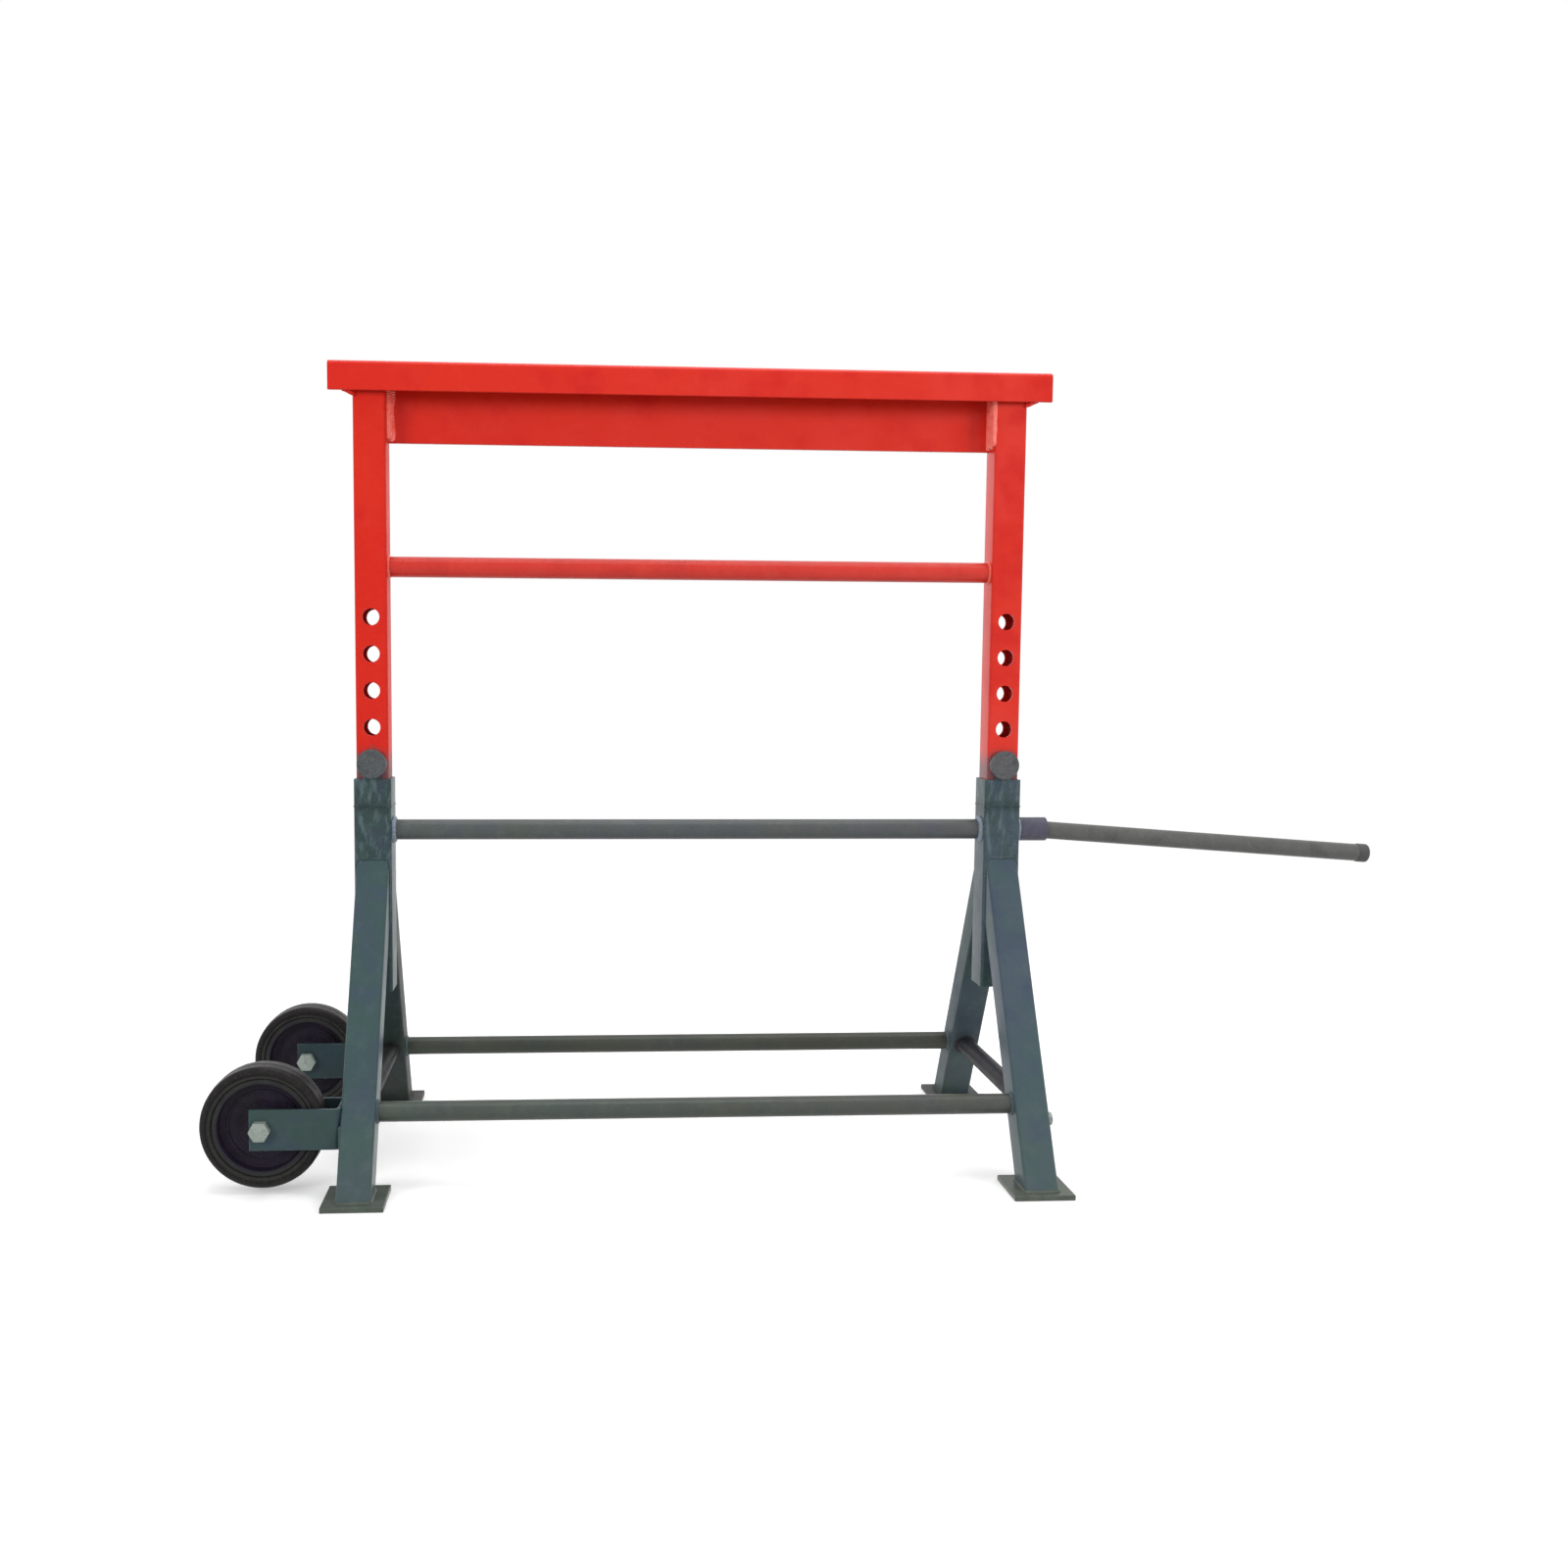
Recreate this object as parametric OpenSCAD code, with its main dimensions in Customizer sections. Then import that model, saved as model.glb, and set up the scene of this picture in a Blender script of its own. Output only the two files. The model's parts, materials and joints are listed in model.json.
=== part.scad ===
/* [Uprights and guides] */
// Distance between the middles of the two uprights
post_spacing = 1000; // [800:10:1400]
// Outside width of the square sliding posts
post_w = 50; // [40:1:60]
// Wall of the sliding posts
post_wall = 4; // [2.5:0.5:5]
// Outside corner radius of every square tube
tube_corner = 5; // [4:0.5:6]
// Wall of the guide tubes that the posts slide in
guide_wall = 3.5; // [2.5:0.5:5]
// Gap on each side between a post and its guide tube
guide_clear = 0.5; // [0.3:0.1:1]
// Height of the guide tubes' upper rims above the floor
rim_h = 596; // [560:1:640]
// Height of the guide tubes' open lower ends
guide_bottom_h = 260; // [240:5:320]

/* [Height setting] */
// Distance from one pin hole to the next
hole_pitch = 57; // [50:1:64]
// Free holes above the pins at the height shown
holes_above = 4; // [1:1:5]
// Spare holes below the pins, hidden in the guide tubes
holes_below = 3; // [1:1:3]
// Length of post that stays in its guide at full height
post_engage = 125; // [90:5:160]
// Diameter of the locking pins
pin_d = 25; // [20:0.5:27]
// Gap all round between a locking pin and its hole
pin_clear = 0.5; // [0.3:0.1:1.5]
// Diameter of the locking pins' round heads
pin_head_d = 46; // [36:1:50]
// Thickness of the locking pins' heads
pin_head_t = 8; // [5:0.5:12]
// Bevel round both ends of the locking pins
pin_bevel = 2; // [0.5:0.5:3]
// How far the locking pins stand out behind the guide tubes
pin_tail = 14; // [6:1:25]
// Height of the pins' middles above the rims
pin_rise = 23.5; // [18:0.5:30]
// Width of the seats on the rims that the pins rest on
seat_w = 28; // [20:1:40]
// Height of those seats where they hold the pins' sides
seat_h = 14; // [13:0.5:16]

/* [Top beam] */
// Height of the top beam's upper face above the floor
top_h = 1234; // [1150:1:1300]
// How far the top beam reaches past each post's outer face
top_overhang = 35; // [5:1:150]
// Width of the top beam from front to back
top_w = 80; // [70:1:120]
// Height of the top beam's front flange
top_flange = 45; // [35:1:60]
// Thickness of the folded plate that the top beam is made of
top_t = 6; // [4:0.5:7]
// Outside radius of the top beam's bend
top_bend = 8; // [7.5:0.5:12]
// How far the stiffener plate reaches below the top beam
stiffener_drop = 71; // [40:1:110]
// Thickness of the stiffener plate
stiffener_t = 8; // [5:0.5:12]
// Height of the round tie between the posts
tie_h = 926; // [880:1:1000]
// Outside diameter of the round tie between the posts
tie_d = 32; // [25:1:40]
// Wall of the round tie
tie_wall = 3; // [2:0.5:5]

/* [A-frames] */
// Outside width of the square legs
leg_w = 50; // [40:1:56]
// Wall of the legs
leg_wall = 4; // [2.5:0.5:5]
// Lean of each leg from the vertical, in degrees
leg_lean = 27.5; // [20:0.5:29]
// Distance from the middle plane to a leg's axis at the floor
leg_reach = 246; // [215:1:260]
// Length and width of the foot plates
foot_size = 90; // [76:1:120]
// Thickness of the foot plates
foot_t = 8; // [5:0.5:12]
// How far a foot plate's middle lies inward of its leg's axis at the floor
foot_setback = 8; // [0:1:12]
// Height of the lower rails' middles
rail_h = 116; // [90:1:160]
// Outside diameter of the lower rails
rail_d = 30; // [22:1:38]
// Wall of the lower rails
rail_wall = 3; // [2:0.5:5]
// Height of the crossbar between the guide tubes
crossbar_h = 514; // [490:1:540]
// Outside diameter of the crossbar
crossbar_d = 32; // [25:1:40]
// Wall of the crossbar
crossbar_wall = 3; // [2:0.5:5]
// Thread of the small bolt in the right front leg's outer wall
leg_bolt_d = 12; // [8:1:14]
// Length of that bolt under its head
leg_bolt_len = 16; // [10:1:30]
// Height of that bolt above the floor
leg_bolt_h = 95; // [80:1:160]

/* [Wheels] */
// Outside diameter of the tyres
tyre_d = 182; // [150:1:190]
// Width of the tyres
tyre_w = 46; // [30:1:48]
// Thickness of the rubber from the rim to the tread
tyre_t = 18; // [14:1:30]
// Radius of the tyres' shoulders
tyre_round = 8; // [3:0.5:9]
// Height of the axle bolts above the floor
axle_h = 99; // [97:1:112]
// Distance from a leg's outer face to the axle
axle_out = 115; // [112:1:140]
// How far a wheel's middle lies inward of its leg's axis at the same height
wheel_inward = 10.5; // [0:0.5:20]
// Diameter of the wheels' hubs
hub_d = 48; // [36:1:60]
// Length of the wheels' hubs
hub_len = 50; // [49:1:60]
// Gap between a hub's end and its fork
hub_clear = 0.5; // [0.3:0.1:1]
// Thickness of the wheel centres' discs
disc_t = 10; // [6:1:16]
// Thickness of the wheel centres' rims
rim_t = 9; // [6:1:12]
// How far the rims lie inside each side of the tyres
rim_inset = 3; // [1:0.5:6]
// Wall of the steel bushes in the hubs
bush_wall = 3; // [2:0.5:5]
// Thread of the axle bolts
axle_d = 18; // [14:1:22]
// Running gap all round between an axle bolt and its bush
axle_clear = 0.08; // [0.04:0.01:0.1]
// Thickness of the folded fork plates
fork_t = 5; // [3:0.5:8]
// Height of the fork plates
fork_h = 60; // [46:1:66]
// Outside radius of the fork plates' two bends
fork_bend = 9; // [8.5:0.5:14]
// How far the fork plates reach past the axle
fork_nose = 16; // [12:1:24]

/* [Pull bar] */
// Gap all round between the pull bar and its socket
bar_clear = 2; // [1:0.25:3]
// Wall of the socket
socket_wall = 3; // [2:0.5:5]
// Length of the socket
socket_len = 50; // [40:1:60]
// Outside diameter of the pull bar
bar_d = 28; // [22:0.5:34]
// Wall of the pull bar
bar_wall = 2.5; // [1.5:0.5:4]
// Length of the pull bar with its end cap
bar_len = 591; // [400:1:800]
// Gap between the pull bar's inner end and the guide tube
bar_end_gap = 3; // [2:0.5:6]
// Length of the end cap on the pull bar
cap_len = 17; // [10:1:30]
// Wall of the end cap
cap_wall = 1; // [0.8:0.1:2]

/* [Hidden] */
$fn = 64;

left = -1;
right = 1;
front = -1;
rear = 1;
half_spacing = post_spacing / 2;
// Gap between pieces that rest on each other or slide past each other
running_gap = 0.3;
// How far a cut runs past the face that it opens
overrun = 1;

// Fasteners in the usual proportions to their thread
across_flats = 1.5;
head_height = 0.63;
nut_height = 0.8;
washer_width = 1.85;
washer_height = 0.15;
thread_end = 0.25;
// How much wider than the thread a plain hole and a tapped one are
hole_ease = 1;
thread_ease = 0.1;

// Guide tubes, pins and the lift
guide_in = post_w + 2 * guide_clear;
guide_w = guide_in + 2 * guide_wall;
pin_h = rim_h + pin_rise;
hole_d = pin_d + 2 * pin_clear;
lift_travel = holes_below * hole_pitch;
post_bottom_h = rim_h - lift_travel - post_engage;
top_under_h = top_h - top_t;
top_len = post_spacing + post_w + 2 * top_overhang;
pin_back = guide_w / 2 + running_gap;

// Legs: distance of a leg's axis from the middle plane at a height
function leg_y(h) = leg_reach - h * tan(leg_lean);
leg_half = leg_w / 2 / cos(leg_lean);
leg_len = rim_h / cos(leg_lean);

// Wheels
leg_face_x = half_spacing + leg_w / 2;
axle_x = -leg_face_x - axle_out;
wheel_y = leg_y(axle_h) - wheel_inward;
fork_gap = hub_len + 2 * hub_clear;
fork_w = fork_gap + 2 * fork_t;
rim_d = tyre_d - 2 * tyre_t;
bush_in = axle_d + 2 * axle_clear;
bush_d = bush_in + 2 * bush_wall;
washer_t = washer_height * axle_d;

// Pull bar: it droops as far as the gap in its socket lets it
socket_in = bar_d + 2 * bar_clear;
socket_x = half_spacing + guide_w / 2;
bar_grip = socket_len - bar_end_gap;
bar_droop = atan((socket_in - bar_d - 2 * running_gap) / bar_grip);
// The point where its axis crosses the socket's axis, and its inner end from there
bar_cross_x = socket_x + bar_end_gap + bar_grip / 2;
bar_inner = -bar_grip / 2;

// The frame's origin lies under the middle of the whole stand's outline
reach_left = axle_x - tyre_d / 2;
reach_right = bar_cross_x + (bar_len + bar_inner) * cos(bar_droop)
              + (bar_d / 2 + cap_wall) * sin(bar_droop);
shift_x = -(reach_left + reach_right) / 2;

module placed() {
    translate([shift_x, 0, 0]) children();
}

module rounded_rect(w, h, r) {
    square([w - 2 * r, h], center = true);
    square([w, h - 2 * r], center = true);
    for (x = [left, right], y = [front, rear])
        translate([x * (w / 2 - r), y * (h / 2 - r)]) circle(r);
}

module square_tube_2d(w, wall) {
    inner_corner = max(tube_corner - wall, 0.5);
    difference() {
        rounded_rect(w, w, tube_corner);
        rounded_rect(w - 2 * wall, w - 2 * wall, inner_corner);
    }
}

module round_tube(d, wall, len) {
    difference() {
        cylinder(h = len, d = d);
        translate([0, 0, -overrun]) cylinder(h = len + 2 * overrun, d = d - 2 * wall);
    }
}

// Hexagon of a bolt head or nut for a thread, with two corners along X
module hexagon(thread, height) {
    cylinder(h = height * thread, d = across_flats * thread / cos(30), $fn = 6);
}

// A round tube along X between two faces
module cross_tube(x_half, y, h, d, wall) {
    translate([-x_half, y, h]) rotate([0, 90, 0]) round_tube(d, wall, 2 * x_half);
}

module guide_tube(side) {
    color("#46555a") placed() translate([side * half_spacing, 0, 0]) {
        translate([0, 0, guide_bottom_h])
            linear_extrude(rim_h - guide_bottom_h)
                square_tube_2d(guide_w, guide_wall);
        // Seats that cradle the locking pin on the front and rear walls
        for (face = [front, rear])
            difference() {
                translate([-seat_w / 2, face * (guide_w - guide_wall) / 2 - guide_wall / 2, rim_h])
                    cube([seat_w, guide_wall, seat_h]);
                translate([0, 0, pin_h]) rotate([90, 0, 0])
                    cylinder(h = 2 * guide_w, d = pin_d + 2 * running_gap, center = true);
            }
    }
}

module leg(side, face) {
    color("#46555a") placed() translate([side * half_spacing, 0, 0])
        difference() {
            translate([0, face * leg_reach, 0]) rotate([face * leg_lean, 0, 0])
                translate([0, 0, -leg_w])
                    linear_extrude(leg_len + leg_w) square_tube_2d(leg_w, leg_wall);
            // Cut level on the foot plate and upright on the guide tube's face
            translate([-leg_w, face * leg_reach - 2 * leg_w, -2 * leg_w])
                cube([2 * leg_w, 4 * leg_w, 2 * leg_w + foot_t]);
            translate([-leg_w, face * (guide_w / 2 - leg_len) - leg_len, 0])
                cube([2 * leg_w, 2 * leg_len, 2 * leg_len]);
            if (side == right && face == front) leg_bolt_hole();
        }
}

// Where the small bolt stands on the leg's outer face, in the leg's own place
module at_leg_bolt() {
    translate([leg_w / 2, front * leg_y(leg_bolt_h), leg_bolt_h]) rotate([0, 90, 0]) children();
}

module leg_bolt_hole() {
    at_leg_bolt() translate([0, 0, -leg_w / 2])
        cylinder(h = leg_w, d = leg_bolt_d + thread_ease);
}

module leg_bolt() {
    color("#9aa19c") placed() translate([half_spacing, 0, 0]) at_leg_bolt() {
        translate([0, 0, -leg_bolt_len]) cylinder(h = leg_bolt_len, d = leg_bolt_d);
        hexagon(leg_bolt_d, head_height);
    }
}

module foot_plate(side, face) {
    middle_y = leg_reach - foot_setback;
    color("#3f4d4c") placed()
        translate([side * half_spacing, face * middle_y, foot_t / 2])
            cube([foot_size, foot_size, foot_t], center = true);
}

module long_rail(face) {
    color("#4c5753") placed()
        cross_tube(half_spacing - leg_w / 2, face * leg_y(rail_h), rail_h, rail_d, rail_wall);
}

// Runs from front to back between the two legs of one A-frame
module side_rail(side) {
    inner_y = leg_y(rail_h) - leg_half;
    color("#414c50") placed() translate([side * half_spacing, 0, 0])
        difference() {
            translate([0, -inner_y - rail_d, rail_h]) rotate([-90, 0, 0])
                round_tube(rail_d, rail_wall, 2 * (inner_y + rail_d));
            for (face = [front, rear])
                translate([0, face * leg_reach, 0]) rotate([face * leg_lean, 0, 0])
                    translate([-leg_w / 2, -face * leg_w / 2 + (face - 1) * leg_w, 0])
                        cube([leg_w, 2 * leg_w, leg_len / 2]);
        }
}

module crossbar() {
    color("#4a5353") placed()
        cross_tube(half_spacing - guide_w / 2, 0, crossbar_h, crossbar_d, crossbar_wall);
}

module pull_bar_socket() {
    color("#4b4c5c") placed()
        translate([socket_x, 0, crossbar_h]) rotate([0, 90, 0])
            round_tube(socket_in + 2 * socket_wall, socket_wall, socket_len);
}

// Folded plate: a web on the leg's outer face and a cheek on each side of the wheel
module wheel_fork(face) {
    fork_len = 2 * (fork_nose + axle_out);
    color("#3f4f50") on_axle(face)
        difference() {
            translate([0, fork_h / 2, 0]) rotate([90, 0, 0]) linear_extrude(fork_h)
                difference() {
                    translate([axle_out - fork_len / 2, 0])
                        rounded_rect(fork_len, fork_w, fork_bend);
                    translate([axle_out - fork_len / 2, 0])
                        rounded_rect(fork_len - 2 * fork_t, fork_gap, fork_bend - fork_t);
                    translate([-fork_nose - fork_len, -fork_w])
                        square([fork_len, 2 * fork_w]);
                }
            cylinder(h = 2 * fork_w, d = axle_d + hole_ease, center = true);
        }
}

// Places children on a wheel's axle, with their Z along it and pointing to the rear
module on_axle(face) {
    placed() translate([axle_x, face * wheel_y, axle_h]) rotate([-90, 0, 0]) children();
}

module axle_bolts() {
    shank_len = fork_w + washer_t + (nut_height + thread_end) * axle_d;
    color("#b9c2ba") for (face = [front, rear]) on_axle(face) {
        translate([0, 0, -fork_w / 2]) cylinder(h = shank_len, d = axle_d);
        translate([0, 0, -fork_w / 2 - head_height * axle_d]) hexagon(axle_d, head_height);
    }
}

module axle_washers() {
    washer_wall = (washer_width * axle_d - axle_d - hole_ease) / 2;
    color("#aab2ac") for (face = [front, rear]) on_axle(face)
        translate([0, 0, fork_w / 2]) round_tube(washer_width * axle_d, washer_wall, washer_t);
}

module axle_nuts() {
    color("#b0b8b2") for (face = [front, rear]) on_axle(face)
        translate([0, 0, fork_w / 2 + washer_t]) difference() {
            hexagon(axle_d, nut_height);
            translate([0, 0, -overrun]) cylinder(h = 2 * axle_d, d = axle_d + thread_ease);
        }
}

module tyre(face) {
    color("#23211f") on_axle(face) rotate_extrude($fn = 96) difference() {
        translate([rim_d / 2 - tyre_t, 0]) rounded_rect(4 * tyre_t, tyre_w, tyre_round);
        translate([-rim_d, -tyre_w]) square([1.5 * rim_d, 2 * tyre_w]);
    }
}

module wheel_centre(face) {
    rim_w = tyre_w - 2 * rim_inset;
    color("#2b2733") on_axle(face) difference() {
        union() {
            translate([0, 0, -rim_w / 2]) round_tube(rim_d, rim_t, rim_w, $fn = 96);
            cylinder(h = disc_t, d = rim_d - rim_t, center = true, $fn = 96);
            cylinder(h = hub_len, d = hub_d, center = true);
        }
        cylinder(h = 2 * hub_len, d = bush_d, center = true);
    }
}

module wheel_bush(face) {
    color("#8d9390") on_axle(face) translate([0, 0, -hub_len / 2])
        round_tube(bush_d, bush_wall, hub_len);
}

module post(side) {
    color("#d8322c") placed() translate([side * half_spacing, 0, 0]) difference() {
        translate([0, 0, post_bottom_h])
            linear_extrude(top_under_h - post_bottom_h) square_tube_2d(post_w, post_wall);
        for (i = [-holes_below : holes_above])
            translate([0, 0, pin_h + i * hole_pitch]) rotate([90, 0, 0])
                cylinder(h = 2 * post_w, d = hole_d, center = true);
    }
}

// Folded plate: a flat top over the posts and a flange down in front of them
module top_beam() {
    color("#dc3530") placed()
        translate([-top_len / 2, -top_w / 2, top_h]) rotate([90, 0, 90]) linear_extrude(top_len)
            difference() {
                translate([top_w, -top_flange])
                    rounded_rect(2 * top_w, 2 * top_flange, top_bend);
                translate([top_w, -top_flange])
                    rounded_rect(2 * (top_w - top_t), 2 * (top_flange - top_t), top_bend - top_t);
                translate([top_w, -3 * top_flange]) square([2 * top_w, 4 * top_flange]);
                translate([-top_w, -3 * top_flange]) square([3 * top_w, 2 * top_flange]);
            }
}

// Flat bar on edge under the top beam, between the posts and near their backs
module stiffener_plate() {
    back_y = post_w / 2 - tube_corner;
    low_h = top_h - top_flange - stiffener_drop;
    span = post_spacing - post_w;
    color("#cf302b") placed()
        translate([-span / 2, back_y - stiffener_t, low_h])
            cube([span, stiffener_t, top_under_h - low_h]);
}

module post_tie() {
    color("#d53a34") placed()
        cross_tube(half_spacing - post_w / 2, 0, tie_h, tie_d, tie_wall);
}

module locking_pin(side) {
    straight_len = pin_back + guide_w / 2 + pin_tail - pin_bevel;
    color("#5a6160") placed()
        translate([side * half_spacing, -pin_back, pin_h]) rotate([-90, 0, 0]) {
            cylinder(h = straight_len, d = pin_d);
            translate([0, 0, straight_len])
                cylinder(h = pin_bevel, d1 = pin_d, d2 = pin_d - 2 * pin_bevel);
            translate([0, 0, pin_bevel - pin_head_t])
                cylinder(h = pin_head_t - pin_bevel, d = pin_head_d);
            translate([0, 0, -pin_head_t])
                cylinder(h = pin_bevel, d1 = pin_head_d - 2 * pin_bevel, d2 = pin_head_d);
        }
}

// Places children on the pull bar's own drooping axis, which points outward
module on_bar() {
    placed() translate([bar_cross_x, 0, crossbar_h]) rotate([0, 90 + bar_droop, 0]) children();
}

module pull_bar() {
    color("#5d605f") on_bar() translate([0, 0, bar_inner])
        round_tube(bar_d, bar_wall, bar_len - cap_wall);
}

module pull_bar_cap() {
    cap_end = bar_inner + bar_len;
    color("#555857") on_bar() difference() {
        translate([0, 0, cap_end - cap_len]) cylinder(h = cap_len, d = bar_d + 2 * cap_wall);
        translate([0, 0, cap_end - cap_len - overrun])
            cylinder(h = cap_len + overrun - cap_wall, d = bar_d);
    }
}

guide_tube(left);  // guide_tube_left
guide_tube(right);  // guide_tube_right
leg(left, front);  // leg_front_left
leg(right, front);  // leg_front_right
leg(left, rear);  // leg_rear_left
leg(right, rear);  // leg_rear_right
foot_plate(left, front);  // foot_plate_front_left
foot_plate(right, front);  // foot_plate_front_right
foot_plate(left, rear);  // foot_plate_rear_left
foot_plate(right, rear);  // foot_plate_rear_right
long_rail(front);  // front_rail
long_rail(rear);  // rear_rail
side_rail(left);  // side_rail_left
side_rail(right);  // side_rail_right
crossbar();
pull_bar_socket();
leg_bolt();
wheel_fork(front);  // wheel_fork_front
wheel_fork(rear);  // wheel_fork_rear
axle_bolts();
axle_washers();
axle_nuts();
tyre(front);  // tyre_front
tyre(rear);  // tyre_rear
wheel_centre(front);  // wheel_centre_front
wheel_centre(rear);  // wheel_centre_rear
wheel_bush(front);  // wheel_bush_front
wheel_bush(rear);  // wheel_bush_rear
post(left);  // post_left
post(right);  // post_right
top_beam();
stiffener_plate();
post_tie();
locking_pin(left);  // locking_pin_left
locking_pin(right);  // locking_pin_right
pull_bar();
pull_bar_cap();
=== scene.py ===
import json
import math
import bmesh
import bpy
from mathutils import Matrix, Vector, noise


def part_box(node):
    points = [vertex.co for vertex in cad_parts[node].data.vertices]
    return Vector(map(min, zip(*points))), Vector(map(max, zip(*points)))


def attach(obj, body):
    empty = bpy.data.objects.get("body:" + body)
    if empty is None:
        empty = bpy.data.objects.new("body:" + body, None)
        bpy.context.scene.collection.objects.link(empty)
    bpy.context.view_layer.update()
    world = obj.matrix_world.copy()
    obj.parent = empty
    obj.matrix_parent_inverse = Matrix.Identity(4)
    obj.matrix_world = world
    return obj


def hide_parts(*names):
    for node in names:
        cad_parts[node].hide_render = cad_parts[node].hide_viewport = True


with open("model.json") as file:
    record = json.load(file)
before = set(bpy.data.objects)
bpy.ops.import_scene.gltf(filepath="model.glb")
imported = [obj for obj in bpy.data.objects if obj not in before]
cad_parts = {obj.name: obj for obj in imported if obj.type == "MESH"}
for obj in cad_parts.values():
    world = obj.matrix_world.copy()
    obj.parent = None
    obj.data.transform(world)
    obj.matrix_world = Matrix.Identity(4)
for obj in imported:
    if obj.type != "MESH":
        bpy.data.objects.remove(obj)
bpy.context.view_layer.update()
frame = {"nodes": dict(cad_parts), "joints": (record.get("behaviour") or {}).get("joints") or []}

left, right, front, rear = -1, 1, -1, 1
sideName = {left: "left", right: "right"}
faceName = {front: "front", rear: "rear"}
scene = bpy.context.scene


def middleOf(node):
    return [(low + high) / 2 for low, high in zip(*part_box(node))]


def jointOf(name):
    return next(joint for joint in frame["joints"] if joint["name"] == name)


postX = {side: middleOf("post_" + sideName[side])[0] for side in (left, right)}
standX = (postX[left] + postX[right]) / 2    # middle of the stand itself, without wheels and bar


# Camera, as the photo was taken: its place is from the middle of the stand at the floor
view = {
    "place": (-0.1879, -2.2635, 0.7670),
    "yaw": 3.572,
    "down": 4.549,
    "roll": 0.343,
    "focal": 1453.0,       # in pixels of the photo
    "centre": 675.0,       # the optical axis in the photo, in pixels from the left
    "photo": 1600.0,
    "sensor": 36.0,
    "clipEnd": 100,
}


def makeCamera():
    data = bpy.data.cameras.new("camera")
    data.sensor_width = view["sensor"]
    data.lens = view["focal"] / view["photo"] * view["sensor"]
    data.shift_x = 0.5 - view["centre"] / view["photo"]
    data.clip_end = view["clipEnd"]
    camera = bpy.data.objects.new("camera", data)
    scene.collection.objects.link(camera)
    turn = (Matrix.Rotation(-math.radians(view["yaw"]), 4, "Z")
            @ Matrix.Rotation(math.radians(90 - view["down"]), 4, "X")
            @ Matrix.Rotation(math.radians(view["roll"]), 4, "Z"))
    camera.matrix_world = Matrix.Translation(Vector(view["place"]) + Vector((standX, 0, 0))) @ turn
    scene.camera = camera


makeCamera()
scene.view_settings.view_transform = "Standard"
print("camera placed")


# Small helpers for materials
def addNode(tree, kind, inputs=None, **settings):
    made = tree.nodes.new(kind)
    for key, value in settings.items():
        setattr(made, key, value)
    for key, value in (inputs or {}).items():
        if isinstance(value, bpy.types.NodeSocket):
            tree.links.new(value, made.inputs[key])
        else:
            made.inputs[key].default_value = value
    return made


def colour(code):
    levels = [int(code[i:i + 2], 16) / 255 for i in (0, 2, 4)]
    return [c / 12.92 if c <= 0.04045 else ((c + 0.055) / 1.055) ** 2.4 for c in levels] + [1.0]


def noiseOf(tree, place, scale, detail, rough=0.5):
    made = addNode(tree, "ShaderNodeTexNoise",
                   {"Vector": place, "Scale": scale, "Detail": detail, "Roughness": rough})
    return made.outputs[0]


def remap(tree, value, low, high, toLow=0.0, toHigh=1.0):
    made = addNode(tree, "ShaderNodeMapRange",
                   {0: value, 1: low, 2: high, 3: toLow, 4: toHigh}, clamp=True)
    return made.outputs[0]


def times(tree, a, b):
    return addNode(tree, "ShaderNodeMath", {0: a, 1: b}, operation="MULTIPLY").outputs[0]


def mixed(tree, amount, a, b):
    made = addNode(tree, "ShaderNodeMix", {0: amount, 6: a, 7: b}, data_type="RGBA")
    return made.outputs[2]


def bumped(tree, height, strength, distance, under=None):
    inputs = {"Height": height, "Strength": strength, "Distance": distance}
    if under:
        inputs["Normal"] = under
    return addNode(tree, "ShaderNodeBump", inputs).outputs[0]


# Distance from a line that runs from front to rear through (x, z)
def fromAxis(tree, place, x, z):
    flat = addNode(tree, "ShaderNodeVectorMath", {0: place, 1: (1, 0, 1)},
                   operation="MULTIPLY").outputs[0]
    return addNode(tree, "ShaderNodeVectorMath", {0: flat, 1: (x, 0, z)},
                   operation="DISTANCE").outputs["Value"]


def newMaterial(name):
    material = bpy.data.materials.new(name)
    material.use_nodes = True
    tree = material.node_tree
    shader = tree.nodes["Principled BSDF"]
    place = addNode(tree, "ShaderNodeTexCoord").outputs["Object"]
    return material, tree, shader, place


# What all the enamels share. A noise is its scale per metre, detail and roughness. The numbers
# beside it are the noise's low and high and what they turn into. Sizes are in metres
film = {
    "halfSpan": 0.5,        # the tone goes from base to rightEnd over twice this width
    "drift": (0.38, 0.62, 0, 0.7),
    "shadeFiner": 2.3, "shade": (0.5, 0.7, 0, 0.8),
    "mottleFiner": 6, "mottle": (0.5, 0.72, 0),
    "smearNoise": (75, 3, 0.55), "smear": (0.50, 0.66, 0, 0.75),
    "smearTurn": 0.6, "smearStretch": (1.6, 1, 0.45),
    "stainNoise": (55, 3), "stain": (0.3, 0.6, 0.2, 0.7), "stainFade": 0.010,
    "paintedShadeNoise": (80, 4, 0.6), "paintedShadeEdge": (0.3, 0.7, -0.006, 0.006), "paintedShade": (0, 0.9),
    "grainNoise": (420, 2), "grain": (0.3, 0.7, 0),
    "edgeWearAndSheenNoise": (70, 5, 0.65), "edgeWearAndSheen": (0.5, 0.66),
    "edgeWearAndSheenCosine": (0.985, 0.86), "edgeWearAndSheenWidth": 0.0016, "edgeWearAndSheenSamples": 4,
    "splashNoise": (34, 5, 0.7), "splash": (0.16, 0.0), "splashTone": "8a8577",
    "roughNoise": (26, 4, 0.6), "rough": (0.3, 0.7),
    "waveNoise": (60, 2), "wave": (0.25, 0.0006),        # strength and depth
    "peelNoise": (520, 2), "peel": (0.35, 0.00012),
}


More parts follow.
